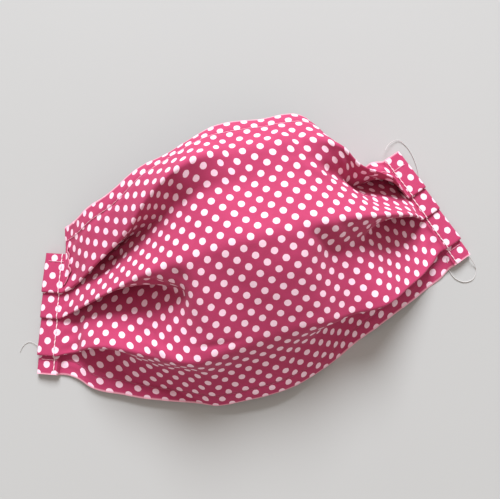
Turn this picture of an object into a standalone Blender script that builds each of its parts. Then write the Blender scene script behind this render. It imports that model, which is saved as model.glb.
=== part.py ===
"""A pleated cloth face mask, lying face up as it opens by itself.

A double cotton panel is folded into three pleats that all face down. Both ends
of the panel are gathered into flat side casings, open tunnels for a tie, and
between them the pleats open into a dome. X runs from casing to casing, Y from
the lower edge to the top edge, and Z up from the surface that the mask lies on.
"""

import math

import bmesh
import bpy
import numpy as np
from mathutils import Matrix

# Flat sizes of the cut cloth, in metres
PANEL_LENGTH = 0.197
CASING_WIDTH = 0.0095
STRIP_A = 0.020
STRIP_B = 0.011
STRIP_C = 0.016
STRIP_D = 0.008
PLEAT_DEPTH = 0.0142

# Cloth and clearances
WALL = 0.001
FOLD_GAP = 0.0003
PIECE_GAP = 0.0003
TUNNEL_HEIGHT = 0.0012
SEAM_WIDTH = 0.0015

# Form as it lies
DOME_HEIGHT = 0.046
HEM_TILT_DEGREES = 19
HEM_REACH_SHARE = 0.25
LEAST_RUN_SHARE = 0.3
OPEN_TURN = 0.010

# Mesh fineness
SECTION_COUNT = 41
SECTION_BUNCHING_SHARE = 0.5
TURN_STEPS = 3
LAYER_STEPS = [3, 2, 4, 2, 4, 2, 3]
CLOTH_STEP = 0.0002
STRIP_STATIONS = 4
FOLD_ROUND_STEPS = 5
SHARP_EDGE_DEGREES = 50

# Lengths that follow from the sizes above
LAYERS = [
    STRIP_A,
    PLEAT_DEPTH,
    STRIP_B + PLEAT_DEPTH,
    PLEAT_DEPTH,
    STRIP_C + PLEAT_DEPTH,
    PLEAT_DEPTH,
    STRIP_D + PLEAT_DEPTH,
]
FOLDS = np.cumsum(LAYERS)[:-1]
CROWN = FOLDS[2]
CLOTH_HEIGHT = sum(LAYERS)
FLAT_FOLD_DEGREES = 180
FLAT_TURN = math.pi * (WALL + FOLD_GAP) / 2
HEM_TILT = math.radians(HEM_TILT_DEGREES)

# The crown fold, the second of the three: its place from the hems' middle, how far it bows
# up the panel, its height at the hems, and how its height swells and fades in between
CROWN_HEM_Y = -0.006
CROWN_BOW = 0.009
CROWN_HEM_Z = 0.00575
CROWN_SKEW = 1.2
CROWN_FULLNESS = 0.75
TAKEN_UP_SHARE = 0.015

# Slopes of the seven layers in degrees, a row for each section from the left casing to the
# right one, going down from the top edge and rising where positive. along is the share of the
# panel's length.
# along, a, under_a, b, under_b, c, under_c, d
SECTIONS = [
    (0.000, 10, -168, 9, -169, 8, -170, 3),
    (0.035, 10, -155, 15, -150, 10, -140, 0),
    (0.075, 15, -140, 20, -130, 15, -105, -5),
    (0.150, 20, -105, 35, -90, 20, -90, -20),
    (0.230, 30, -90, 35, -65, 10, -85, -35),
    (0.310, 40, -70, 30, -40, 0, -75, -40),
    (0.380, 55, -45, 20, -15, -15, -60, -40),
    (0.460, 45, -20, 15, -20, -20, -55, -40),
    (0.540, 40, 0, 25, -15, -25, -55, -40),
    (0.620, 40, 10, 20, -15, -25, -70, -35),
    (0.700, 40, 0, 25, -45, -15, -95, -25),
    (0.775, 70, -40, 35, -60, 0, -125, -20),
    (0.850, 90, -70, 45, -85, 5, -150, -10),
    (0.930, 65, -115, 30, -115, 10, -160, -5),
    (0.970, 25, -150, 15, -140, 10, -165, 0),
    (1.000, 10, -168, 9, -169, 8, -170, 3),
]

# Pink cotton as it shows in daylight
COTTON_COLOUR = (0.60, 0.085, 0.21, 1.0)
COTTON_ROUGHNESS = 0.85


def smooth_columns(table, places):
    """Read every column of a table at the given places along a smooth curve."""
    rows = np.array(table, float)
    knots = rows[:, 0]
    values = rows[:, 1:]
    spans = np.diff(knots)[:, None]
    rises = np.diff(values, axis=0) / spans
    slopes = np.zeros_like(values)
    slopes[1:-1] = (rises[1:] * spans[:-1] + rises[:-1] * spans[1:]) / (spans[1:] + spans[:-1])
    slopes[0] = rises[0]
    slopes[-1] = rises[-1]
    index = np.clip(np.searchsorted(knots, places, side="right") - 1, 0, len(knots) - 2)
    width = spans[index]
    t = (places - knots[index])[:, None] / width
    start_weight = 2 * t**3 - 3 * t**2 + 1
    leave_weight = (t**3 - 2 * t**2 + t) * width
    arrive_weight = (t**3 - t**2) * width
    return (
        start_weight * values[index]
        + (1 - start_weight) * values[index + 1]
        + leave_weight * slopes[index]
        + arrive_weight * slopes[index + 1]
    )


def crown_line(along):
    """Give the crown fold's place and height in each section."""
    swell = np.maximum(np.sin(math.pi * along**CROWN_SKEW), 0) ** CROWN_FULLNESS
    return CROWN_HEM_Y + CROWN_BOW * np.sin(math.pi * along), np.hypot(CROWN_HEM_Z, DOME_HEIGHT * swell)


def turn_lengths(slopes):
    """Give the cloth in each fold's turn: tight where it is flat, wide where it lies open."""
    bend = np.abs(np.diff(slopes)) / FLAT_FOLD_DEGREES
    openness = np.clip(1 - bend, 0, 1) ** 2
    return FLAT_TURN + (OPEN_TURN - FLAT_TURN) * openness


def section_curve(crown_y, crown_z, slopes, cloth):
    """Follow the cloth through one section, from its top edge to its lower edge."""
    places = [0.0]
    headings = [slopes[0]]
    for fold, turn, before, after in zip(FOLDS, turn_lengths(slopes), slopes[:-1], slopes[1:]):
        places += [fold - turn / 2, fold + turn / 2]
        headings += [before, after]
    middles = (cloth[1:] + cloth[:-1]) / 2
    heading = np.radians(np.interp(middles, places, headings))
    steps = np.diff(cloth) * (1 - TAKEN_UP_SHARE)
    y = np.concatenate([[0], np.cumsum(-np.cos(heading) * steps)])
    z = np.concatenate([[0], np.cumsum(np.sin(heading) * steps)])
    y += crown_y - np.interp(CROWN, cloth, y)
    z += crown_z - np.interp(CROWN, cloth, z)
    return y, np.maximum(z, WALL / 2)


def cloth_form(along):
    """Give the cloth's middle surface, one row of points for each place along the panel."""
    cloth = np.linspace(0, CLOTH_HEIGHT, int(round(CLOTH_HEIGHT / CLOTH_STEP)) + 1)
    slopes = smooth_columns(SECTIONS, along)
    crown_y, crown_z = crown_line(along)
    curves = [section_curve(*section, cloth) for section in zip(crown_y, crown_z, slopes)]
    y = np.array([curve[0] for curve in curves])
    z = np.array([curve[1] for curve in curves])
    x = lengthwise_places(along, y, z)
    return cloth, slopes, np.stack([x, y, z], axis=-1)


def lengthwise_places(along, y, z):
    """Space the sections so that the cloth keeps its length along the panel."""
    gaps = np.diff(along)[:, None] * PANEL_LENGTH * (1 - TAKEN_UP_SHARE)
    spare = gaps**2 - np.diff(y, axis=0) ** 2 - np.diff(z, axis=0) ** 2
    runs = np.sqrt(np.maximum(spare, (LEAST_RUN_SHARE * gaps) ** 2))
    x = np.concatenate([np.zeros((1, y.shape[1])), np.cumsum(runs, axis=0)])
    x -= x[len(along) // 2]
    nearness = np.clip(1 - np.minimum(along, 1 - along) / HEM_REACH_SHARE, 0, 1) ** 2
    for end, side in ((0, -1), (-1, 1)):
        straight = x[end].mean() - side * math.tan(HEM_TILT) * (y[end] - y[end].mean())
        on_side = (along - 0.5) * side > 0
        x += (nearness * on_side)[:, None] * (straight - x[end])[None, :]
    return x - (x[0].mean() + x[-1].mean()) / 2


def section_samples(slopes):
    """Choose where the mesh cuts the cloth: a few points in each layer and each turn."""
    samples = []
    start = 0.0
    turns = list(turn_lengths(slopes)) + [0.0]
    ends = list(FOLDS) + [CLOTH_HEIGHT]
    for end, turn, count in zip(ends, turns, LAYER_STEPS):
        samples += list(np.linspace(start, end - turn / 2, count + 1)[:-1])
        if turn:
            samples += list(np.linspace(end - turn / 2, end + turn / 2, TURN_STEPS + 1)[:-1])
        start = end + turn / 2
    return np.array(samples + [CLOTH_HEIGHT])


def bunched_places(count):
    """Give places from 0 to 1 that lie closer together at both ends."""
    even = np.linspace(0, 1, count)
    return even - SECTION_BUNCHING_SHARE * np.sin(2 * math.pi * even) / (2 * math.pi)


def outward(side):
    """Point straight out of the panel across a hem: side is -1 on the left, 1 on the right."""
    return np.array([side * math.cos(HEM_TILT), math.sin(HEM_TILT), 0.0])


def sheet_normals(points):
    """Give the upper side's normals of a sheet, square to the hems at both ends."""
    down = np.gradient(points, axis=1)
    lengthwise = np.gradient(points, axis=0)
    normals = np.cross(down, lengthwise)
    for end, side in ((0, -1), (-1, 1)):
        normals[end] -= np.outer(normals[end] @ outward(side), outward(side))
    return normals / np.linalg.norm(normals, axis=-1, keepdims=True)


def cotton_material(name):
    """Make one piece's plain cotton material."""
    material = bpy.data.materials.new(name)
    material.use_nodes = True
    shader = material.node_tree.nodes["Principled BSDF"]
    shader.inputs["Base Color"].default_value = COTTON_COLOUR
    shader.inputs["Roughness"].default_value = COTTON_ROUGHNESS
    shader.inputs["Metallic"].default_value = 0.0
    return material


def add_object(name, points, faces):
    """Make one closed object with its own material."""
    mesh = bpy.data.meshes.new(name)
    mesh.from_pydata([tuple(point) for point in points], [], faces)
    body = bmesh.new()
    body.from_mesh(mesh)
    bmesh.ops.recalc_face_normals(body, faces=body.faces)
    body.to_mesh(mesh)
    body.free()
    mesh.shade_smooth()
    mesh.set_sharp_from_angle(angle=math.radians(SHARP_EDGE_DEGREES))
    mesh.materials.append(cotton_material(name + "_cotton"))
    thing = bpy.data.objects.new(name, mesh)
    bpy.context.collection.objects.link(thing)
    return thing


def grid_faces(rows, columns, first, flip):
    """List the four-sided faces of a grid of points that starts at the index first."""
    faces = []
    for i in range(rows - 1):
        for j in range(columns - 1):
            a = first + i * columns + j
            face = (a, a + columns, a + columns + 1, a + 1)
            faces.append(face[::-1] if flip else face)
    return faces


def thick_sheet(name, points):
    """Give a sheet of rows and columns its wall and close it round its edge."""
    rows, columns = points.shape[:2]
    offset = sheet_normals(points) * WALL / 2
    upper = (points + offset).reshape(-1, 3)
    lower = (points - offset).reshape(-1, 3)
    under = rows * columns
    faces = grid_faces(rows, columns, 0, False) + grid_faces(rows, columns, under, True)
    edge = list(range(columns))
    edge += [i * columns + columns - 1 for i in range(1, rows)]
    edge += [(rows - 1) * columns + j for j in range(columns - 2, -1, -1)]
    edge += [i * columns for i in range(rows - 2, 0, -1)]
    for a, b in zip(edge, edge[1:] + edge[:1]):
        faces.append((a, b, under + b, under + a))
    return add_object(name, np.concatenate([upper, lower]), faces)


def add_pleated_panel():
    """Make the panel: one pleated shell, folded flat at its ends and open in the middle."""
    along = bunched_places(SECTION_COUNT)
    cloth, slopes, form = cloth_form(along)
    points = []
    for row, line in zip(slopes, form):
        samples = section_samples(row)
        points.append(np.stack([np.interp(samples, cloth, line[:, k]) for k in range(3)], axis=-1))
    return thick_sheet("pleated_panel", np.array(points)), cloth, form


def strip_stations(cloth, line):
    """Follow the folded pleats' top along a hem, one strip a step, with a gap between strips."""
    stations = []
    starts = [0.0, FOLDS[1], FOLDS[3], FOLDS[5]]
    ends = [FOLDS[0], FOLDS[2], FOLDS[4], CLOTH_HEIGHT]
    top = line[0, 1]
    for start, end in zip(starts, ends):
        on_strip = (cloth >= start + FLAT_TURN / 2) & (cloth <= end)
        strip_y = line[on_strip, 1][::-1]
        strip_z = line[on_strip, 2][::-1]
        low = np.interp(end, cloth, line[:, 1])
        places = np.linspace(top, low, STRIP_STATIONS)
        heights = np.interp(places, strip_y, strip_z) + WALL / 2
        stations += list(zip(places, heights))
        top = low - FOLD_GAP
    return stations


def casing_rings(height):
    """Give a casing's outer and inner outline at one station, out from the stitched edge."""
    back = WALL
    front = WALL + TUNNEL_HEIGHT
    height = max(height, front + WALL)
    turn = height / 2
    outer = [(PIECE_GAP, 0.0)]
    for k in range(FOLD_ROUND_STEPS + 1):
        angle = math.pi * (k / FOLD_ROUND_STEPS - 0.5)
        across = CASING_WIDTH - WALL * (1 - math.cos(angle))
        outer.append((across, turn + turn * math.sin(angle)))
    outer.append((PIECE_GAP, height))
    inner = [(SEAM_WIDTH, back)]
    round_start = CASING_WIDTH - 2 * WALL
    for k in range(FOLD_ROUND_STEPS + 1):
        angle = math.pi * (k / FOLD_ROUND_STEPS - 0.5)
        half = TUNNEL_HEIGHT / 2
        inner.append((round_start + half * math.cos(angle), back + half + half * math.sin(angle)))
    inner.append((SEAM_WIDTH, front))
    return outer, inner


def add_casing(name, side, cloth, line):
    """Make one side casing: a flat tunnel with the pleats' steps on its front."""
    stations = strip_stations(cloth, line)
    middle_y = line[:, 1].mean()
    middle_x = line[:, 0].mean()
    out = outward(side)[:2]
    points = []
    for place, height in stations:
        hem = np.array([middle_x - side * math.tan(HEM_TILT) * (place - middle_y), place])
        outer, inner = casing_rings(height)
        for across, up in outer + inner:
            flat = hem + out * across
            points.append((flat[0], flat[1], up))
    count = len(outer)
    ring = 2 * count
    faces = []
    for i in range(len(stations) - 1):
        for shell in (0, count):
            for j in range(count):
                a = i * ring + shell + j
                b = i * ring + shell + (j + 1) % count
                faces.append((a, b, b + ring, a + ring))
    for i in (0, len(stations) - 1):
        for j in range(count):
            a = i * ring + j
            b = i * ring + (j + 1) % count
            faces.append((a, b, b + count, a + count))
    return add_object(name, points, faces)


def lay_on_surface(things):
    """Bring the mask's lowest point to height zero, with the origin under its middle."""
    corners = np.array([corner.co for thing in things for corner in thing.data.vertices])
    low = corners.min(axis=0)
    high = corners.max(axis=0)
    move = (-(low[0] + high[0]) / 2, -(low[1] + high[1]) / 2, -low[2])
    for thing in things:
        thing.data.transform(Matrix.Translation(move))


def main():
    """Clear the scene and build the mask's three pieces."""
    for thing in list(bpy.data.objects):
        bpy.data.objects.remove(thing)
    panel, cloth, form = add_pleated_panel()
    left = add_casing("left_casing", -1, cloth, form[0])
    right = add_casing("right_casing", 1, cloth, form[-1])
    lay_on_surface([panel, left, right])


main()
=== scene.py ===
"""Looks of a pleated cotton face mask: dotted cloth, creases, hems, stitches and thread ends.

The mask's panel is one strip of double cotton, folded into three pleats that all face down.
Its form follows the plain model's sections on a much finer grid. Creases, stitch lines and
small ripples are then pressed into it. Every point of the cloth keeps its place on the flat
cut, so the printed dots follow the folds.
"""

import math

import bmesh
import bpy
import numpy as np
from mathutils import Euler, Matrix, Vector, noise


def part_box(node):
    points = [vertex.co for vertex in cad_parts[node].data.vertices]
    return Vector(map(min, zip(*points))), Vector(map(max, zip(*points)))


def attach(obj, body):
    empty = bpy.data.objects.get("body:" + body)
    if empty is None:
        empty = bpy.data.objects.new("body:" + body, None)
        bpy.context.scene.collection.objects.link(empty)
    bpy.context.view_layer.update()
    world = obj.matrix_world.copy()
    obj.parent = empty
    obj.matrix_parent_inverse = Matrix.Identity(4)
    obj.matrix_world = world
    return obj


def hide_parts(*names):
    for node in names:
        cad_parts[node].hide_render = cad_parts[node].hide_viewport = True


MM = 0.001

# Flat sizes of the cut cloth, in millimetres
PANEL_LENGTH = 197.0
CASING_WIDTH = 9.5
STRIP_A = 20.0
STRIP_B = 11.0
STRIP_C = 16.0
STRIP_D = 8.0
PLEAT_DEPTH = 14.2
EDGE_SEAM = 6.4

# Cloth and clearances, in millimetres
WALL = 0.6
FOLD_GAP = 0.12
OPEN_TURN = 8.0
BACK_WALL = 0.6
BACK_REACH = 1.2
TUNNEL_TOP = 1.9
TUNNEL_IN = 1.8
TUNNEL_MOUTH = 0.02
TUNNEL_STEP = 0.2
BACK_LIFT = 0.1
TABLE_GAP = 0.05
FOLD_SHOWS = 0.8
LEFT_CASING_START = 2.4

# Shares: how far the panel's edges round out of the wall, and how far along the tunnel's roof
# starts to drop
EDGE_ROUND = 0.45
TUNNEL_DROP_FROM = 0.75

# How a casing's front is pressed: the share of the hem's height at its outer edge, its widest
# turn, how much further it reaches where it is thick, its swell and the least fall of its back
FRONT_SHARE = 0.86
WIDEST_BEND = 1.3
REACH_PER_RADIUS = 0.5
PILLOW = 0.25
LEAST_STEP = 0.001

# Form as it lies
DOME_HEIGHT = 46.0
HEM_TILT = math.radians(19)
HEM_REACH_SHARE = 0.25
LEAST_RUN_SHARE = 0.3
LEFT_REACH = 2.2
LEFT_REACH_FADE = 1.5

# Mesh fineness
ROW_COUNT = 211
ROW_BUNCHING = 0.35
TURN_STEPS = 5
LAYER_STEPS = [26, 14, 32, 14, 40, 14, 28]
CLOTH_STEP = 0.1
FRONT_RINGS = 13
WALL_RINGS = 8
TUNNEL_END_RINGS = 5
FLAP_COLUMNS = 60
FLAP_ROWS = 9
TUBE_SIDES = 6
SHARP_ANGLE = math.radians(60)

# Lengths that follow from the sizes above
LAYERS = [
    STRIP_A,
    PLEAT_DEPTH,
    STRIP_B + PLEAT_DEPTH,
    PLEAT_DEPTH,
    STRIP_C + PLEAT_DEPTH,
    PLEAT_DEPTH,
    STRIP_D + PLEAT_DEPTH,
]
FOLDS = np.cumsum(LAYERS)[:-1]
CROWN = FOLDS[2]
CLOTH_HEIGHT = sum(LAYERS)
FLAT_TURN = math.pi * (WALL + FOLD_GAP) / 2

# The crown fold, the second of the three: its place from the hems' middle, how far it bows
# up the panel, its height at the hems, and how its height swells and fades in between
CROWN_HEM_Y = -6.0
CROWN_BOW = 9.0
CROWN_HEM_Z = 4.6
CROWN_SKEW = 1.2
CROWN_FULLNESS = 0.75
TAKEN_UP = 0.015

# Slopes of the seven layers in degrees, a row for each section from the left casing to the
# right one, going down from the top edge and rising where positive. along is the share of the
# panel's length.
# along, a, under_a, b, under_b, c, under_c, d
SECTIONS = [
    (0.000, 6, -173, 5, -174, 5, -174, 2),
    (0.035, 10, -155, 15, -152, 10, -145, -6),
    (0.075, 15, -140, 20, -140, 19, -106, -18),
    (0.150, 20, -105, 35, -110, 27, -81, -25),
    (0.230, 30, -87, 35, -80, 17, -70, -41),
    (0.310, 39, -63, 30, -48, 5, -73, -42),
    (0.380, 54, -47, 20, -15, -15, -64, -42),
    (0.460, 54, -25, 15, -20, -20, -55, -40),
    (0.540, 38, 0, 25, -15, -25, -55, -40),
    (0.620, 45, 10, 20, -15, -25, -78, -38),
    (0.700, 43, 0, 25, -45, -15, -106, -32),
    (0.775, 63, -37, 35, -60, 0, -138, -24),
    (0.850, 88, -68, 45, -85, 5, -160, -14),
    (0.930, 65, -112, 30, -115, 10, -164, -10),
    (0.970, 25, -150, 15, -140, 10, -165, 0),
    (1.000, 6, -173, 5, -174, 5, -174, 2),
]

# Creases pressed into the cloth, in millimetres of the flat cut: where each one starts and
# ends, its half width and its height, which is negative for a dent.
# from_u, from_v, to_u, to_v, half_width, height
CREASES = [
    (76, 18, 78, 40, 2.2, -1.3),
    (82, 20, 84, 38, 3.0, 0.6),
    (128, 8, 130, 30, 2.4, 1.0),
    (130, 30, 146, 40, 2.4, 1.2),
    (134, 10, 137, 28, 2.8, -1.2),
    (140, 29, 152, 37, 2.6, -1.2),
    (150, 22, 158, 34, 2.2, 0.9),
    (126, 61, 141, 75, 3.2, -1.8),
    (134, 60, 147, 71, 2.6, 1.0),
    (143, 62, 152, 70, 2.2, -1.0),
    (50, 60, 60, 71, 2.4, -1.4),
    (58, 59, 68, 70, 2.4, 0.8),
    (66, 61, 73, 69, 2.2, -0.9),
    (40, 98, 62, 102, 2.2, 0.8),
    (112, 112, 107, 137, 2.8, -1.2),
    (120, 118, 117, 138, 3.0, 0.7),
    (78, 116, 74, 136, 3.2, -0.7),
    (20, 36, 42, 42, 2.2, -1.0),
    (160, 82, 184, 90, 2.6, -0.7),
    (14, 27, 44, 25, 1.5, 0.7),
    (18, 38, 52, 37, 1.5, 0.8),
    (16, 46, 44, 46, 1.4, -0.7),
    (46, 22, 70, 20, 1.5, -0.6),
    (160, 26, 186, 27, 1.4, -0.7),
    (156, 44, 184, 48, 1.5, 0.6),
    (150, 66, 182, 66, 1.6, -0.8),
    (66, 96, 90, 101, 1.6, -0.6),
    (30, 88, 54, 92, 1.6, 0.5),
]

# How fast a crease fades towards its ends, and the share of its height that is left there
CREASE_FADE = 2.5
CREASE_END = 0.25

# Small uneven ripples in the cloth, in millimetres; layer picks another pattern
# size, height, layer
RIPPLES = [
    (13, 0.30, 0.0),
    (5, 0.12, 7.0),
]

# The cloth along the edge seams: how deep the stitches sink it and how it puffs beside them
SEAM_SINK = 0.22
SEAM_SINK_WIDTH = 0.8
SEAM_PUFF = 0.25
SEAM_PUFF_AWAY = 2.2
SEAM_PUFF_WIDTH = 1.6

# The lower edge's lift off the table
EDGE_LIFT = 4.5
LIFT_FROM = 0.0
LIFT_TO = 112.0

# Puckers beside the gathered hems: height, spacing along the hem, reach from it and slant, and
# the strip at the hem over which all that is pressed into the cloth fades
PUCKER_HEIGHT = 0.45
PUCKER_PITCH = 6.1
PUCKER_REACH = 8.0
PUCKER_SLANT = 0.08
HEM_CALM = 4.0

# The panel's free corner at the left hem, and the casing's loose edge that lies on it
CORNER_RISE = 9.0
CORNER_START = 1.5
CORNER_SIDE = 1.8
CORNER_FADE = 62.0
CORNER_CURVE = 1.5
FLAP_START = 0.3
FLAP_WIDTH = 4.6
FLAP_FROM = 1.0
FLAP_TO = 17.0
FLAP_TAPER = 4.0
FLAP_LEAST = 0.15
FLAP_LIFT = 0.6
FLAP_WALL = 0.3
SCALLOP_DEPTH = 0.9
SCALLOP_PITCH = 3.5

# The printed dots, in millimetres of the flat cut; their edges fade between two shares of the
# radius, and the print wanders a little
DOT_REPEAT = 7.7
DOT_RADIUS = 1.48
DOT_PHASE_U = -27.75
DOT_PHASE_V = -8.3
DOT_EDGE_FROM = 0.93
DOT_EDGE_TO = 1.05
PRINT_WOBBLE = 0.35

# Stitches, in millimetres
STITCH_PITCH = 2.4
STITCH_LENGTH = 2.34
THREAD_RADIUS = 0.23
EDGE_THREAD_RADIUS = 0.15
SEAM_STEP = 0.8
CASING_SEAM_FROM = 0.4
CASING_SEAM_SHORT = 1.0

# A stitch's form: its points, its bow and its ends' depth in thread radii, how thin its ends
# are, and the ring of a casing's front on which the hem's stitches lie
STITCH_STEPS = 5
STITCH_BOW = 1.7
STITCH_SINK = 0.1
STITCH_TIP = 0.7
STITCH_RING = 2

# Loose thread ends: their radii in millimetres and their points
LOWER_LOOP_RADIUS = 0.18
UPPER_ARC_RADIUS = 0.13
LEFT_WISP_RADIUS = 0.10
THREAD_END_STEPS = 40

# Where the loose thread ends lie, as pixels of the photograph, which is 500 by 499, and the height in
# millimetres at which each stop lies
PICTURE_MIDDLE = (250.0, 249.5)
PICTURE_WIDTH = 500
# pixel_x, pixel_y, height
LOWER_LOOP = [
    (447, 258, 2.4),
    (449, 270, 0.4),
    (456, 279, 0.3),
    (465, 282, 0.3),
    (473, 279, 0.3),
    (476, 270, 0.3),
    (470, 257, 2.2),
]
UPPER_ARC = [
    (385, 150, 2.6),
    (390, 143, 1.6),
    (398, 140, 0.6),
    (406, 146, 0.3),
    (413, 157, 0.3),
    (417, 168, 0.3),
    (419, 178, 0.3),
]
LEFT_WISP = [
    (42, 350, 1.8),
    (36, 344, 0.8),
    (29, 342, 0.3),
    (23, 346, 0.3),
    (20, 352, 0.3),
]

# Colours, linear
PINK = (0.475, 0.041, 0.129, 1.0)
DEEP_PINK = (0.415, 0.031, 0.100, 1.0)
PRINT_WHITE = (0.95, 0.66, 0.76, 1.0)
# Painted highlight: the paler pink that the cloth turns to at its cut edges
EDGE_HIGHLIGHT_PINK = (0.84, 0.40, 0.48, 1.0)
THREAD_COLOUR = (0.95, 0.66, 0.70, 1.0)
EDGE_THREAD_COLOUR = (0.82, 0.38, 0.47, 1.0)
# Painted shade: the edge thread darkened for the lower seam, which lies in shade
PAINTED_SHADE_THREAD_COLOUR = (0.46, 0.085, 0.16, 1.0)
LOOSE_THREAD_COLOUR = (0.62, 0.60, 0.57, 1.0)
TABLE_COLOUR = (0.450, 0.453, 0.430, 1.0)
TABLE_CLOUD = (0.430, 0.432, 0.409, 1.0)

# Noise patterns: scale and detail, the scale per millimetre on the flat cut and per metre on
# threads and the table
WOBBLE_NOISE = (1.1, 2.0)
MOTTLE_NOISE = (0.35, 5.0)
FUZZ_NOISE = (2.2, 4.0)
TWIST_NOISE = (2500.0, 2.0)
TABLE_NOISE = (6.0, 3.0)

# The painted highlight along the cut edges: where it fades, in millimetres from the cut, and how pale it
# makes the cloth
EDGE_HIGHLIGHT_FROM = 0.2
EDGE_HIGHLIGHT_TO = 0.8
EDGE_HIGHLIGHT_SHARE = 0.85

# The weave, and how dark and how light it makes the cloth
YARNS = {"Scale": 0.9, "Distortion": 1.2, "Detail": 1.0, "Detail Scale": 0.8}
YARN_DARK = 0.84
YARN_LIGHT = 1.12

# Fine relief: strength and depth, in metres
FUZZ_RELIEF = (0.5, 0.00025)
YARN_RELIEF = (0.35, 0.00006)
TWIST_RELIEF = (0.4, 0.0001)
ROUGH_FROM = 0.74
ROUGH_TO = 0.92
TWIST_SHADE = 0.88

# Places of a colour mix's sockets, which share their names with others
MIX_SHARE = 0
MIX_FIRST = 6
MIX_SECOND = 7
MIX_RESULT = 2

# Camera and light
CAMERA_PLACE = (-0.001, -0.014, 0.292)
CAMERA_TILT = math.radians(4.0)
CAMERA_TURN = math.radians(-15.3)
CAMERA_LENS = 45.7
SENSOR_WIDTH = 36.0
WINDOW_PLACE = (0.90, 3.70, 2.75)
WINDOW_SIZE = 2.40
WINDOW_POWER = 365.0
WINDOW_COLOUR = (0.97, 1.0, 1.09)
ROOM_COLOUR = (1.0, 0.91, 0.87, 1.0)
ROOM_STRENGTH = 0.58
TABLE_HALF = 1.5


def smooth_columns(table, places):
    """Read every column of a table at the given places along a smooth curve."""
    rows = np.array(table, float)
    knots = rows[:, 0]
    values = rows[:, 1:]
    spans = np.diff(knots)[:, None]
    rises = np.diff(values, axis=0) / spans
    slopes = np.zeros_like(values)
    slopes[1:-1] = (rises[1:] * spans[:-1] + rises[:-1] * spans[1:]) / (spans[1:] + spans[:-1])
    slopes[0] = rises[0]
    slopes[-1] = rises[-1]
    index = np.clip(np.searchsorted(knots, places, side="right") - 1, 0, len(knots) - 2)
    width = spans[index]
    t = (places - knots[index])[:, None] / width
    start_weight = 2 * t**3 - 3 * t**2 + 1
    leave_weight = (t**3 - 2 * t**2 + t) * width
    arrive_weight = (t**3 - t**2) * width
    return (
        start_weight * values[index]
        + (1 - start_weight) * values[index + 1]
        + leave_weight * slopes[index]
        + arrive_weight * slopes[index + 1]
    )


def crown_line(along):
    """Give the crown fold's place and height in each section."""
    swell = np.maximum(np.sin(math.pi * along**CROWN_SKEW), 0) ** CROWN_FULLNESS
    return CROWN_HEM_Y + CROWN_BOW * np.sin(math.pi * along), np.hypot(CROWN_HEM_Z, DOME_HEIGHT * swell)


def turn_lengths(slopes):
    """Give the cloth in each fold's turn: tight where it is flat, wide where it lies open."""
    bend = np.abs(np.diff(slopes)) / 180
    openness = np.clip(1 - bend, 0, 1) ** 2
    return FLAT_TURN + (OPEN_TURN - FLAT_TURN) * openness


def section_curve(crown_y, crown_z, slopes, cloth):
    """Follow the cloth through one section, from its top edge to its lower edge."""
    places = [0.0]
    headings = [slopes[0]]
    for fold, turn, before, after in zip(FOLDS, turn_lengths(slopes), slopes[:-1], slopes[1:]):
        places += [fold - turn / 2, fold + turn / 2]
        headings += [before, after]
    middles = (cloth[1:] + cloth[:-1]) / 2
    heading = np.radians(np.interp(middles, places, headings))
    steps = np.diff(cloth) * (1 - TAKEN_UP)
    y = np.concatenate([[0], np.cumsum(-np.cos(heading) * steps)])
    z = np.concatenate([[0], np.cumsum(np.sin(heading) * steps)])
    y += crown_y - np.interp(CROWN, cloth, y)
    z += crown_z - np.interp(CROWN, cloth, z)
    return y, np.maximum(z, WALL / 2)


def lengthwise_places(along, y, z):
    """Space the sections so that the cloth keeps its length along the panel."""
    gaps = np.diff(along)[:, None] * PANEL_LENGTH * (1 - TAKEN_UP)
    spare = gaps**2 - np.diff(y, axis=0) ** 2 - np.diff(z, axis=0) ** 2
    runs = np.sqrt(np.maximum(spare, (LEAST_RUN_SHARE * gaps) ** 2))
    x = np.concatenate([np.zeros((1, y.shape[1])), np.cumsum(runs, axis=0)])
    x -= x[len(along) // 2]
    nearness = np.clip(1 - np.minimum(along, 1 - along) / HEM_REACH_SHARE, 0, 1) ** 2
    for end, side in ((0, -1), (-1, 1)):
        straight = x[end].mean() - side * math.tan(HEM_TILT) * (y[end] - y[end].mean())
        on_side = (along - 0.5) * side > 0
        x += (nearness * on_side)[:, None] * (straight - x[end])[None, :]
    x -= (x[0].mean() + x[-1].mean()) / 2
    on_left = np.clip(1 - along / HEM_REACH_SHARE, 0, 1)
    return x - (LEFT_REACH * on_left**LEFT_REACH_FADE)[:, None]


def section_samples(slopes):
    """Choose where the mesh cuts the cloth: several points in each layer and each turn."""
    samples = []
    start = 0.0
    turns = list(turn_lengths(slopes)) + [0.0]
    ends = list(FOLDS) + [CLOTH_HEIGHT]
    for end, turn, count in zip(ends, turns, LAYER_STEPS):
        samples += list(np.linspace(start, end - turn / 2, count + 1)[:-1])
        if turn:
            samples += list(np.linspace(end - turn / 2, end + turn / 2, TURN_STEPS + 1)[:-1])
        start = end + turn / 2
    return np.array(samples + [CLOTH_HEIGHT])


def outward(side):
    """Point straight out of the panel across a hem: side is -1 on the left, 1 on the right."""
    return np.array([side * math.cos(HEM_TILT), math.sin(HEM_TILT), 0.0])


def unit(vectors):
    """Bring vectors to length one."""
    return vectors / np.maximum(np.linalg.norm(vectors, axis=-1, keepdims=True), 1e-9)


def sheet_normals(points):
    """Give the upper side's normals of a sheet, square to the hems at both ends."""
    down = np.gradient(points, axis=1)
    lengthwise = np.gradient(points, axis=0)
    normals = np.cross(down, lengthwise)
    for end, side in ((0, -1), (-1, 1)):
        normals[end] -= np.outer(normals[end] @ outward(side), outward(side))
    return unit(normals)


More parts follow.
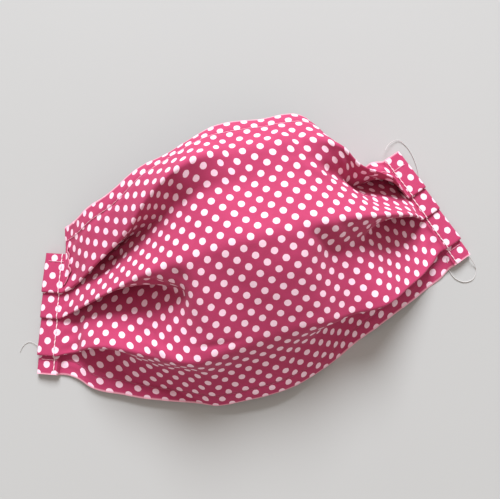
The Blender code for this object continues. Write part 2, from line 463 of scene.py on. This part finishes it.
def panel_form():
    """Give the panel's middle surface on a fine grid, with each point's place on the cut."""
    even = np.linspace(0, 1, ROW_COUNT)
    along = even - ROW_BUNCHING * np.sin(2 * math.pi * even) / (2 * math.pi)
    slopes = smooth_columns(SECTIONS, along)
    crown_y, crown_z = crown_line(along)
    cloth = np.linspace(0, CLOTH_HEIGHT, int(round(CLOTH_HEIGHT / CLOTH_STEP)) + 1)
    curves = [section_curve(*section, cloth) for section in zip(crown_y, crown_z, slopes)]
    y = np.array([curve[0] for curve in curves])
    z = np.array([curve[1] for curve in curves])
    x = lengthwise_places(along, y, z)
    points = []
    places = []
    for i, row in enumerate(slopes):
        samples = section_samples(row)
        points.append(np.stack([np.interp(samples, cloth, line[i]) for line in (x, y, z)], axis=-1))
        places.append(np.stack([np.full(len(samples), along[i] * PANEL_LENGTH), samples], axis=-1))
    return np.array(points), np.array(places)


def crease_heights(places):
    """Add up the creases' heights over places on the flat cut."""
    heights = np.zeros(places.shape[:2])
    for from_u, from_v, to_u, to_v, half_width, height in CREASES:
        start = np.array([from_u, from_v], float)
        run = np.array([to_u, to_v], float) - start
        share = np.clip(((places - start) @ run) / (run @ run), 0, 1)
        away = np.linalg.norm(places - start - share[..., None] * run, axis=-1)
        fade = np.clip(CREASE_FADE * (0.5 - np.abs(share - 0.5)), CREASE_END, 1)
        heights += height * fade * np.exp(-((away / half_width) ** 2))
    return heights


def pucker_heights(places):
    """Ripple the cloth beside the hems, where the stitching gathers it."""
    u = places[..., 0]
    v = places[..., 1]
    from_hem = np.minimum(u, PANEL_LENGTH - u)
    wave = np.sin(2 * math.pi * v / PUCKER_PITCH + PUCKER_SLANT * u)
    return PUCKER_HEIGHT * wave * np.exp(-from_hem / PUCKER_REACH)


def corner_fade(u):
    """Tell how much of the free corner's rise is left at places along the top edge."""
    return np.clip(1 - u / CORNER_FADE, 0, 1) ** CORNER_CURVE


def raise_corner(points, places):
    """Let the panel's free top corner stand out past the left casing, and fade along the edge."""
    u = places[..., 0]
    v = places[..., 1]
    side = np.clip((u - CORNER_START) / CORNER_SIDE, 0, 1)
    rise = CORNER_RISE * side * corner_fade(u) * np.clip(1 - v / STRIP_A, 0, 1)
    points[..., 1] += rise
    places[..., 1] -= rise


def lift_edge(points, places):
    """Let the lower edge stand a little off the table at the left, over the shadow there."""
    share = np.clip((places[..., 0] - LIFT_FROM) / (LIFT_TO - LIFT_FROM), 0, 1)
    down = np.clip((places[..., 1] - FOLDS[5]) / (CLOTH_HEIGHT - FOLDS[5]), 0, 1)
    points[..., 2] += EDGE_LIFT * np.sin(math.pi * share) * down


def ripple_heights(places):
    """Give the cloth's small uneven ripples."""
    heights = np.zeros(places.shape[:2])
    for i in range(places.shape[0]):
        for j in range(places.shape[1]):
            u, v = places[i, j]
            for size, height, layer in RIPPLES:
                heights[i, j] += height * noise.noise((u / size, v / size, layer))
    return heights


def seam_heights(places):
    """Sink the cloth along the edge seams and puff it a little on both sides."""
    v = places[..., 1]
    away = np.minimum(np.abs(v - EDGE_SEAM), np.abs(v - (CLOTH_HEIGHT - EDGE_SEAM)))
    puff = SEAM_PUFF * np.exp(-(((away - SEAM_PUFF_AWAY) / SEAM_PUFF_WIDTH) ** 2))
    return puff - SEAM_SINK * np.exp(-((away / SEAM_SINK_WIDTH) ** 2))


def press_cloth(points, places):
    """Press creases, ripples, seams and puckers into the panel and keep it off the table."""
    heights = crease_heights(places) + ripple_heights(places) + seam_heights(places)
    heights += pucker_heights(places)
    from_hem = np.minimum(places[..., 0], PANEL_LENGTH - places[..., 0])
    heights *= np.clip(from_hem / HEM_CALM, 0, 1)
    points = points + sheet_normals(points) * heights[..., None]
    points[..., 2] = np.maximum(points[..., 2], WALL / 2 + TABLE_GAP)
    return points


def grid_faces(rows, columns, first=0, flip=False):
    """List the four-sided faces of a grid of points that starts at the index first."""
    a = first + (np.arange(rows - 1)[:, None] * columns + np.arange(columns - 1)[None, :]).ravel()
    faces = np.stack([a, a + columns, a + columns + 1, a + 1], axis=-1)
    return faces[:, ::-1] if flip else faces


def add_mesh(name, points, faces, places, materials, rims=None):
    """Make one object from points in millimetres, with each point's place on the flat cut.

    rims gives each point's distance from the cloth's cut edges, in millimetres.
    """
    mesh = bpy.data.meshes.new(name)
    mesh.from_pydata((np.asarray(points) * MM).tolist(), [], [[int(k) for k in face] for face in faces])
    if places is not None:
        corners = np.zeros(len(mesh.loops), int)
        mesh.loops.foreach_get("vertex_index", corners)
        if rims is None:
            rims = np.minimum(np.asarray(places)[:, 1], CLOTH_HEIGHT - np.asarray(places)[:, 1])
        rims = np.stack([rims, np.zeros(len(rims))], axis=-1)
        for layer_name, values in (("cloth", np.asarray(places)), ("rim", rims)):
            layer = mesh.uv_layers.new(name=layer_name)
            layer.data.foreach_set("uv", values[corners].ravel())
    for material in materials:
        mesh.materials.append(material)
    mesh.shade_smooth()
    mesh.set_sharp_from_angle(angle=SHARP_ANGLE)
    thing = bpy.data.objects.new(name, mesh)
    bpy.context.scene.collection.objects.link(thing)
    return thing


def add_panel(points, places, rims, material):
    """Give the panel's sheet its wall and round its long edges."""
    rows, columns = points.shape[:2]
    total = rows * columns
    normals = sheet_normals(points)
    upper = points + normals * WALL / 2
    lower = points - normals * WALL / 2
    blocks = [grid_faces(rows, columns), grid_faces(rows, columns, total, True)]
    stack = [upper.reshape(-1, 3), lower.reshape(-1, 3)]
    marks = [places.reshape(-1, 2), places.reshape(-1, 2)]
    edges = [rims.ravel(), rims.ravel()]
    for number, column, inner in ((0, 0, 1), (1, columns - 1, columns - 2)):
        out = unit(points[:, column] - points[:, inner])
        stack.append(points[:, column] + out * WALL * EDGE_ROUND)
        marks.append(places[:, column])
        edges.append(np.zeros(rows))
        top = np.arange(rows) * columns + column
        middle = 2 * total + number * rows + np.arange(rows)
        for first, second in ((top, middle), (middle, top + total)):
            strip = np.stack([first[:-1], second[:-1], second[1:], first[1:]], axis=-1)
            blocks.append(strip[:, ::-1] if number else strip)
    tips = []
    for row, flip in ((0, True), (rows - 1, False)):
        top = row * columns + np.arange(columns)
        under = top + total
        strip = np.stack([top[:-1], under[:-1], under[1:], top[1:]], axis=-1)
        blocks.append(strip[:, ::-1] if flip else strip)
        tips.append([top[0], 2 * total + row, under[0]])
        tips.append([top[-1], 2 * total + rows + row, under[-1]])
    faces = [list(face) for block in blocks for face in block] + tips
    marks = np.concatenate(marks)
    return add_mesh("panel_cloth", np.concatenate(stack), faces, marks, [material], np.concatenate(edges))


def hem_profile(points, places, row):
    """Follow what shows of the folded pleats along a hem, with each point's place down the cloth."""
    normals = sheet_normals(points)
    upper = (points + normals * WALL / 2)[row]
    cloth = places[row, :, 1]
    starts = [0.0] + list(FOLDS[1::2])
    ends = [fold + FLAT_TURN / 2 + FOLD_SHOWS for fold in FOLDS[::2]] + [CLOTH_HEIGHT]
    shown = []
    limit = np.inf
    for start, end in zip(starts, ends):
        on_strip = np.where((cloth >= start) & (cloth <= end) & (upper[:, 1] <= limit + 1e-6))[0]
        shown += list(on_strip)
        limit = upper[on_strip[-1], 1]
    return upper[shown], cloth[shown]


def casing_rings(side, line):
    """Run a casing's wall round its open tunnel, with how far round the cloth each ring lies."""
    straight = np.minimum.accumulate(line[:, 1] - np.arange(len(line)) * LEAST_STEP)
    front = line[:, 2] * FRONT_SHARE
    radius = (front - BACK_LIFT) / 2
    reach = CASING_WIDTH + REACH_PER_RADIUS * (radius - radius.mean())
    bend = np.minimum(radius, WIDEST_BEND)
    flat = reach - bend
    inside = reach - TUNNEL_IN
    half = (TUNNEL_TOP - BACK_LIFT - BACK_WALL) / 2
    rings = []
    marks = []

    def add_ring(across, height, y, mark):
        ring = line + outward(side) * across[:, None]
        ring[:, 0] -= side * math.tan(HEM_TILT) * (y - line[:, 1])
        ring[:, 1] += y - line[:, 1]
        ring[:, 2] = height
        rings.append(ring)
        marks.append(mark)

    for t in np.linspace(0, 1, FRONT_RINGS):
        ease = t * t * (3 - 2 * t)
        height = line[:, 2] * (1 - ease) + front * ease + PILLOW * math.sin(math.pi * t)
        add_ring(t * flat, height, line[:, 1], t * flat)
    for t in np.linspace(0, 1, WALL_RINGS + 1)[1:]:
        angle = math.pi * (0.5 - t)
        height = BACK_LIFT + radius + radius * math.sin(angle)
        y = line[:, 1] * (1 - t) + straight * t
        add_ring(flat + bend * math.cos(angle), height, y, flat + math.pi * radius * t)
    for t in np.linspace(0, 1, WALL_RINGS + 1)[1:]:
        mark = flat + math.pi * radius + (flat + BACK_REACH) * t
        add_ring(flat * (1 - t) - BACK_REACH * t, BACK_LIFT, straight, mark)
    last = marks[-1]
    for t in np.linspace(0, 1, WALL_RINGS + 1):
        add_ring(inside * t - BACK_REACH * (1 - t), BACK_LIFT + BACK_WALL, straight, last)
    for t in np.linspace(0, 1, TUNNEL_END_RINGS + 1)[1:]:
        angle = math.pi * (t - 0.5)
        height = BACK_LIFT + BACK_WALL + half + half * math.sin(angle)
        add_ring(inside + half * math.cos(angle), height, straight, last)
    for t in np.linspace(0, 1, WALL_RINGS + 1)[1:]:
        drop = np.clip((t - TUNNEL_DROP_FROM) / (1 - TUNNEL_DROP_FROM), 0, 1)
        height = TUNNEL_TOP - drop * (TUNNEL_TOP - BACK_WALL - TUNNEL_STEP)
        add_ring(inside * (1 - t) + TUNNEL_MOUTH * t, height, straight, last)
    return np.array(rings).transpose(1, 0, 2), np.array(marks).T


def casing_faces(rows, count, side):
    """Join a casing's rings and close the cloth's cut face at both open ends."""
    faces = []
    for i in range(rows - 1):
        for j in range(count):
            a = i * count + j
            b = i * count + (j + 1) % count
            face = (a, b, b + count, a + count)
            faces.append(face if side < 0 else face[::-1])
    outer = FRONT_RINGS + 2 * WALL_RINGS
    stops = np.linspace(0, outer - 1, count - outer).round().astype(int)
    for i, flip in ((0, side < 0), (rows - 1, side > 0)):
        for k in range(count - outer - 1):
            face = [i * count + index for index in range(stops[k], stops[k + 1] + 1)]
            face += [(i + 1) * count - 2 - k, (i + 1) * count - 1 - k]
            faces.append(face if flip else face[::-1])
    return faces


def add_casing(name, side, points, places, first_place, material):
    """Make one side casing: an open tunnel whose front carries the folded pleats on."""
    line, cloth = hem_profile(points, places, 0 if side < 0 else -1)
    line = line[cloth >= first_place]
    cloth = cloth[cloth >= first_place]
    stack, across = casing_rings(side, line)
    rows, count = stack.shape[:2]
    edge_u = 0.0 if side < 0 else PANEL_LENGTH
    marks = np.stack([edge_u + side * across, np.repeat(cloth[:, None], count, axis=1)], axis=-1)
    faces = casing_faces(rows, count, side)
    thing = add_mesh(name, stack.reshape(-1, 3), faces, marks.reshape(-1, 2), [material])
    return thing, stack[:, :FRONT_RINGS].transpose(1, 0, 2), marks[:, :FRONT_RINGS].transpose(1, 0, 2)


def on_cloth(points, places, u, v):
    """Find points of a grid by their places on the flat cut."""
    rows = places[:, 0, 0]
    order = 1 if rows[-1] > rows[0] else -1
    rows = rows[::order]
    grid = points[::order]
    marks = places[::order, :, 1]
    found = []
    for one_u, one_v in zip(u, v):
        i = int(np.clip(np.searchsorted(rows, one_u) - 1, 0, len(rows) - 2))
        share = np.clip((one_u - rows[i]) / (rows[i + 1] - rows[i]), 0, 1)
        ends = [[np.interp(one_v, marks[k], grid[k, :, axis]) for axis in range(3)] for k in (i, i + 1)]
        found.append(np.array(ends[0]) * (1 - share) + np.array(ends[1]) * share)
    return np.array(found)


def tube(path, radii):
    """Give a thin tube's points and faces along a path, closed at both ends."""
    path = np.asarray(path, float)
    ahead = unit(np.gradient(path, axis=0))
    aside = unit(np.cross(ahead, [0.0, 0.0, 1.0]) + [1e-6, 0, 0])
    above = np.cross(aside, ahead)
    angles = np.linspace(0, 2 * math.pi, TUBE_SIDES, endpoint=False)
    rings = [
        at + r * (np.cos(angles)[:, None] * a + np.sin(angles)[:, None] * b)
        for at, r, a, b in zip(path, radii, aside, above)
    ]
    faces = []
    for i in range(len(path) - 1):
        for j in range(TUBE_SIDES):
            a = i * TUBE_SIDES + j
            b = i * TUBE_SIDES + (j + 1) % TUBE_SIDES
            faces.append((a, b, b + TUBE_SIDES, a + TUBE_SIDES))
    faces.append(tuple(range(TUBE_SIDES))[::-1])
    faces.append(tuple((len(path) - 1) * TUBE_SIDES + j for j in range(TUBE_SIDES)))
    return np.concatenate(rings), faces


def add_stitches(name, lines, radius, material):
    """Sew along lines of surface points: one short thread, then a hidden step, and so on."""
    points = []
    faces = []
    for line in lines:
        gone = np.concatenate([[0], np.cumsum(np.linalg.norm(np.diff(line, axis=0), axis=1))])
        for k in range(int(gone[-1] / STITCH_PITCH)):
            spots = np.linspace(k * STITCH_PITCH, k * STITCH_PITCH + STITCH_LENGTH, STITCH_STEPS)
            path = np.stack([np.interp(spots, gone, line[:, axis]) for axis in range(3)], axis=-1)
            bow = np.sin(np.linspace(0, math.pi, STITCH_STEPS))
            path[:, 2] += radius * (STITCH_BOW * bow - STITCH_SINK)
            more, sides = tube(path, radius * (STITCH_TIP + (1 - STITCH_TIP) * bow))
            first = len(points) * len(more)
            faces += [[first + index for index in side] for side in sides]
            points.append(more)
    return add_mesh(name, np.concatenate(points), faces, None, [material])


def seen_at(pixel_x, pixel_y, height):
    """Find the point at a height that the camera sees at a place in the picture."""
    focal = CAMERA_LENS / SENSOR_WIDTH * PICTURE_WIDTH
    ray = Vector(((pixel_x - PICTURE_MIDDLE[0]) / focal, (PICTURE_MIDDLE[1] - pixel_y) / focal, -1.0))
    ray.rotate(Euler((CAMERA_TILT, 0.0, CAMERA_TURN)))
    place = Vector(CAMERA_PLACE) / MM
    return place + ray * (height - place.z) / ray.z


def smooth_route(stops, count):
    """Run a smooth curve through a few stops."""
    stops = np.asarray(stops, float)
    gone = np.concatenate([[0], np.cumsum(np.linalg.norm(np.diff(stops, axis=0), axis=1))])
    table = np.concatenate([(gone / gone[-1])[:, None], stops], axis=1)
    return smooth_columns(table, np.linspace(0, 1, count))


def add_thread_end(name, stops, radius, material):
    """Lay one loose thread end where the photograph shows it."""
    route = smooth_route([seen_at(*stop) for stop in stops], THREAD_END_STEPS)
    points, faces = tube(route, np.full(len(route), radius))
    return add_mesh(name, points, faces, None, [material])


def add_flap(points, places, material):
    """Lay the left casing's loose inner edge on the panel's corner, with its scalloped border."""
    v = np.linspace(FLAP_FROM, FLAP_TO, FLAP_COLUMNS)
    scallops = SCALLOP_DEPTH * np.abs(np.sin(math.pi * v / SCALLOP_PITCH))
    reach = FLAP_WIDTH * np.clip((FLAP_TO - v) / FLAP_TAPER, FLAP_LEAST, 1) + scallops
    grid = []
    marks = []
    for share in np.linspace(0, 1, FLAP_ROWS):
        u = FLAP_START + share * reach
        grid.append(on_cloth(points, places, u, v) + [0, 0, WALL / 2 + FLAP_LIFT])
        marks.append(np.stack([u, v], axis=-1))
    lower = np.concatenate(grid)
    upper = lower + [0, 0, FLAP_WALL]
    marks = np.concatenate(marks)
    rims = np.repeat(np.linspace(FLAP_WIDTH, 0, FLAP_ROWS), FLAP_COLUMNS)
    total = FLAP_ROWS * FLAP_COLUMNS
    faces = [list(face) for face in grid_faces(FLAP_ROWS, FLAP_COLUMNS)]
    faces += [list(face) for face in grid_faces(FLAP_ROWS, FLAP_COLUMNS, total, True)]
    border = list(range(FLAP_COLUMNS))
    border += [i * FLAP_COLUMNS + FLAP_COLUMNS - 1 for i in range(1, FLAP_ROWS)]
    border += [(FLAP_ROWS - 1) * FLAP_COLUMNS + j for j in range(FLAP_COLUMNS - 2, -1, -1)]
    border += [i * FLAP_COLUMNS for i in range(FLAP_ROWS - 2, 0, -1)]
    for a, b in zip(border, border[1:] + border[:1]):
        faces.append([a, b, total + b, total + a])
    return add_mesh(
        "left_flap",
        np.concatenate([upper, lower]),
        faces,
        np.concatenate([marks, marks]),
        [material],
        np.concatenate([rims, rims]),
    )


def sew_on(thing, extra):
    """Make a small piece one with the larger piece that it belongs to."""
    body = bmesh.new()
    body.from_mesh(thing.data)
    body.from_mesh(extra.data)
    body.to_mesh(thing.data)
    body.free()
    bpy.data.objects.remove(extra)


def feed(tree, node, inputs):
    """Set a node's inputs, or link them to what feeds them."""
    for name, value in inputs.items():
        if isinstance(value, bpy.types.NodeSocket):
            tree.links.new(value, node.inputs[name])
        else:
            node.inputs[name].default_value = value


def add_node(tree, kind, inputs, **settings):
    """Add a shader node, set it up, feed its inputs and give its outputs."""
    node = tree.nodes.new(kind)
    for name, value in settings.items():
        setattr(node, name, value)
    feed(tree, node, inputs)
    return node.outputs


def add_noise(tree, where, pattern):
    """Add a noise pattern over places."""
    scale, detail = pattern
    return add_node(tree, "ShaderNodeTexNoise", {"Vector": where, "Scale": scale, "Detail": detail})


def vector_step(tree, operation, *values):
    """Add one step of vector arithmetic."""
    return add_node(tree, "ShaderNodeVectorMath", dict(enumerate(values)), operation=operation)[0]


def add_mix(tree, share, first, second):
    """Mix two colours."""
    inputs = {MIX_SHARE: share, MIX_FIRST: first, MIX_SECOND: second}
    return add_node(tree, "ShaderNodeMix", inputs, data_type="RGBA")[MIX_RESULT]


def add_range(tree, value, old, new, **settings):
    """Map a value from one range to another."""
    inputs = {"Value": value, "From Min": old[0], "From Max": old[1], "To Min": new[0], "To Max": new[1]}
    return add_node(tree, "ShaderNodeMapRange", inputs, **settings)[0]


def add_relief(tree, height, relief, under=None):
    """Press a height into the surface, over another relief where one is given."""
    strength, depth = relief
    inputs = {"Height": height, "Strength": strength, "Distance": depth}
    if under is not None:
        inputs["Normal"] = under
    return add_node(tree, "ShaderNodeBump", inputs)[0]


def new_material(name):
    """Start a material and give its tree and its shader."""
    material = bpy.data.materials.new(name)
    material.use_nodes = True
    return material, material.node_tree, material.node_tree.nodes["Principled BSDF"]


def dot_print(tree, cloth):
    """Tell where the printed dots are: slanting rows on the flat cut, with soft edges."""
    wobble = vector_step(tree, "SUBTRACT", add_noise(tree, cloth, WOBBLE_NOISE)["Color"], (0.5, 0.5, 0.5))
    wobbled = vector_step(tree, "MULTIPLY_ADD", wobble, (PRINT_WOBBLE, PRINT_WOBBLE, 0.0), cloth)
    shift_u = (DOT_PHASE_U - DOT_PHASE_V) / 2 + 0.5
    shift_v = (DOT_PHASE_U + DOT_PHASE_V) / 2 + 0.5
    scale = math.sqrt(2) / DOT_REPEAT
    lattice = add_node(
        tree,
        "ShaderNodeMapping",
        {
            "Vector": wobbled,
            "Location": (shift_u, shift_v, 0),
            "Rotation": (0, 0, math.radians(45)),
            "Scale": (scale, scale, 0),
        },
    )[0]
    centred = vector_step(tree, "SUBTRACT", vector_step(tree, "FRACTION", lattice), (0.5, 0.5, 0.0))
    away = add_node(tree, "ShaderNodeVectorMath", {0: centred}, operation="LENGTH")["Value"]
    edge = (DOT_RADIUS * scale * DOT_EDGE_FROM, DOT_RADIUS * scale * DOT_EDGE_TO)
    return add_range(tree, away, edge, (1.0, 0.0), interpolation_type="SMOOTHSTEP")


def cotton_colour(tree, cloth):
    """Give the cotton's colour: uneven pink, pale dots and a painted highlight that makes the cut edges
    paler.
    """
    ground = add_mix(tree, add_noise(tree, cloth, MOTTLE_NOISE)["Fac"], PINK, DEEP_PINK)
    printed = add_mix(tree, dot_print(tree, cloth), ground, PRINT_WHITE)
    rim = add_node(tree, "ShaderNodeUVMap", {}, uv_map="rim")["UV"]
    away = add_node(tree, "ShaderNodeSeparateXYZ", {0: rim})["X"]
    # Painted highlight: the cloth turns paler towards its cut edges
    edge_highlight = add_range(tree, away, (EDGE_HIGHLIGHT_FROM, EDGE_HIGHLIGHT_TO), (EDGE_HIGHLIGHT_SHARE, 0.0))
    return add_mix(tree, edge_highlight, printed, EDGE_HIGHLIGHT_PINK)


def weave_height(tree, cloth):
    """Add up the yarns that run along the cloth and across it."""
    yarns = [
        add_node(tree, "ShaderNodeTexWave", {"Vector": cloth, **YARNS}, bands_direction=way)["Fac"]
        for way in ("X", "Y")
    ]
    return add_node(tree, "ShaderNodeMath", dict(enumerate(yarns)), operation="ADD")[0]


def cotton_material(name):
    """Make pink cotton with its printed dots, weave, painted edge highlight and fuzz."""
    material, tree, shader = new_material(name)
    cloth = add_node(tree, "ShaderNodeUVMap", {}, uv_map="cloth")["UV"]
    colour = cotton_colour(tree, cloth)
    weave = weave_height(tree, cloth)
    shade = add_range(tree, weave, (0.0, 2.0), (YARN_DARK, YARN_LIGHT))
    woven = add_node(tree, "ShaderNodeVectorMath", {0: colour, "Scale": shade}, operation="SCALE")[0]
    fuzz = add_noise(tree, cloth, FUZZ_NOISE)["Fac"]
    relief = add_relief(tree, weave, YARN_RELIEF, add_relief(tree, fuzz, FUZZ_RELIEF))
    looks = {
        "Base Color": woven,
        "Roughness": add_range(tree, fuzz, (0.0, 1.0), (ROUGH_FROM, ROUGH_TO)),
        "Normal": relief,
        "Specular IOR Level": 0.35,
        "Sheen Weight": 0.08,
        "Sheen Roughness": 0.5,
    }
    feed(tree, shader, looks)
    return material


def thread_material(name, colour):
    """Make sewing thread with its twist."""
    material, tree, shader = new_material(name)
    where = add_node(tree, "ShaderNodeTexCoord", {})["Object"]
    twist = add_noise(tree, where, TWIST_NOISE)["Fac"]
    darker = [TWIST_SHADE * part for part in colour[:3]] + [1.0]
    looks = {
        "Base Color": add_mix(tree, twist, colour, darker),
        "Normal": add_relief(tree, twist, TWIST_RELIEF),
        "Roughness": 0.6,
        "Sheen Weight": 0.2,
    }
    feed(tree, shader, looks)
    return material


def table_material():
    """Make the pale, faintly uneven table top."""
    material, tree, shader = new_material("table_top")
    where = add_node(tree, "ShaderNodeTexCoord", {})["Object"]
    cloud = add_noise(tree, where, TABLE_NOISE)["Fac"]
    feed(tree, shader, {"Base Color": add_mix(tree, cloud, TABLE_COLOUR, TABLE_CLOUD), "Roughness": 0.7})
    return material


def add_camera():
    """Look down on the mask as the photograph does."""
    data = bpy.data.cameras.new("camera")
    data.lens = CAMERA_LENS
    data.sensor_width = SENSOR_WIDTH
    data.clip_start = 0.01
    camera = bpy.data.objects.new("camera", data)
    camera.location = CAMERA_PLACE
    camera.rotation_euler = (CAMERA_TILT, 0.0, CAMERA_TURN)
    bpy.context.scene.collection.objects.link(camera)
    bpy.context.scene.camera = camera


def add_window():
    """Add the one soft light, which comes from the picture's top."""
    data = bpy.data.lights.new("window", "AREA")
    data.shape = "DISK"
    data.size = WINDOW_SIZE
    data.energy = WINDOW_POWER
    data.color = WINDOW_COLOUR
    light = bpy.data.objects.new("window", data)
    light.location = WINDOW_PLACE
    light.rotation_euler = (-Vector(WINDOW_PLACE)).to_track_quat("-Z", "Y").to_euler()
    bpy.context.scene.collection.objects.link(light)


def add_table():
    """Lay the pale table top under the mask."""
    corners = [(x * TABLE_HALF, y * TABLE_HALF, 0) for x, y in ((-1, -1), (1, -1), (1, 1), (-1, 1))]
    mesh = bpy.data.meshes.new("table")
    mesh.from_pydata(corners, [], [(0, 1, 2, 3)])
    mesh.materials.append(table_material())
    table = bpy.data.objects.new("table", mesh)
    bpy.context.scene.collection.objects.link(table)


def add_room():
    """Fill the room with even, slightly warm light."""
    world = bpy.data.worlds.new("room")
    world.use_nodes = True
    background = world.node_tree.nodes["Background"]
    background.inputs["Color"].default_value = ROOM_COLOUR
    background.inputs["Strength"].default_value = ROOM_STRENGTH
    bpy.context.scene.world = world
    bpy.context.scene.view_settings.view_transform = "Standard"


def edge_seams(upper, places, casings):
    """Trace the stitch lines along the top edge and across both casings."""
    u = np.arange(CORNER_START + CORNER_SIDE, PANEL_LENGTH, SEAM_STEP)
    lines = [on_cloth(upper, places, u, EDGE_SEAM - CORNER_RISE * corner_fade(u))]
    across = np.arange(CASING_SEAM_FROM, CASING_WIDTH - CASING_SEAM_SHORT, SEAM_STEP)
    for top, marks, hem_u, side in casings:
        for v in (EDGE_SEAM, CLOTH_HEIGHT - EDGE_SEAM):
            lines.append(on_cloth(top, marks, hem_u + side * across, np.full(len(across), v)))
    return lines


def lower_seam(upper, places):
    """Trace the stitch line along the lower edge."""
    u = np.arange(CORNER_START + CORNER_SIDE, PANEL_LENGTH, SEAM_STEP)
    return on_cloth(upper, places, u, np.full(len(u), CLOTH_HEIGHT - EDGE_SEAM))


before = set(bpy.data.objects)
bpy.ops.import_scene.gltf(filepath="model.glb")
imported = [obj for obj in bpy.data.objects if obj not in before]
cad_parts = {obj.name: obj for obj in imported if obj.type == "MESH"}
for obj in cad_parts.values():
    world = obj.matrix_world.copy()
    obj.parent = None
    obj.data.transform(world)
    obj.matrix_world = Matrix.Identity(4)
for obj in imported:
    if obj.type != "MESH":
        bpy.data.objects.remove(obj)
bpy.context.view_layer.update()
add_camera()
add_table()
add_window()
add_room()

points, places = panel_form()
cad_low, cad_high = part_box("pleated_panel")
middle_y = (points[..., 1].min() + points[..., 1].max()) / 2
points[..., 1] += (cad_low.y + cad_high.y) / 2 / MM - middle_y
points = press_cloth(points, places)
rims = np.minimum(places[..., 1], CLOTH_HEIGHT - places[..., 1])
raise_corner(points, places)
lift_edge(points, places)

panel_cotton = cotton_material("panel_cotton")
casing_cotton = cotton_material("casing_cotton")
panel = add_panel(points, places, rims, panel_cotton)
left, left_top, left_marks = add_casing(
    "left_casing_cloth", -1, points, places, LEFT_CASING_START, casing_cotton
)
right, right_top, right_marks = add_casing("right_casing_cloth", 1, points, places, 0.0, casing_cotton)
sew_on(left, add_flap(points, places, casing_cotton))

hem_thread = thread_material("hem_thread", THREAD_COLOUR)
loose_thread = thread_material("loose_thread", LOOSE_THREAD_COLOUR)
# The lower seam's thread is the edge thread darkened as painted shade, since the lower strip lies in
# shade
painted_shade_thread = thread_material("painted_shade_edge_thread", PAINTED_SHADE_THREAD_COLOUR)
edge_thread = thread_material("edge_thread", EDGE_THREAD_COLOUR)
upper = points + sheet_normals(points) * WALL / 2
seams = edge_seams(
    upper, places, ((left_top, left_marks, 0.0, -1), (right_top, right_marks, PANEL_LENGTH, 1))
)
hems = [left_top[STITCH_RING], right_top[STITCH_RING]]
for thread in (
    add_stitches("edge_stitches", seams, EDGE_THREAD_RADIUS, edge_thread),
    add_stitches("lower_stitches", [lower_seam(upper, places)], EDGE_THREAD_RADIUS, painted_shade_thread),
    add_stitches("hem_stitches", hems, THREAD_RADIUS, hem_thread),
    add_thread_end("lower_loop", LOWER_LOOP, LOWER_LOOP_RADIUS, loose_thread),
    add_thread_end("upper_arc", UPPER_ARC, UPPER_ARC_RADIUS, loose_thread),
    add_thread_end("left_wisp", LEFT_WISP, LEFT_WISP_RADIUS, loose_thread),
):
    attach(thread, "root")

for piece, node, slot in (
    (panel, "pleated_panel", "panel_cotton"),
    (left, "left_casing", "casing_cotton"),
    (right, "right_casing", "casing_cotton"),
):
    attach(piece, "root")
    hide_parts(node)
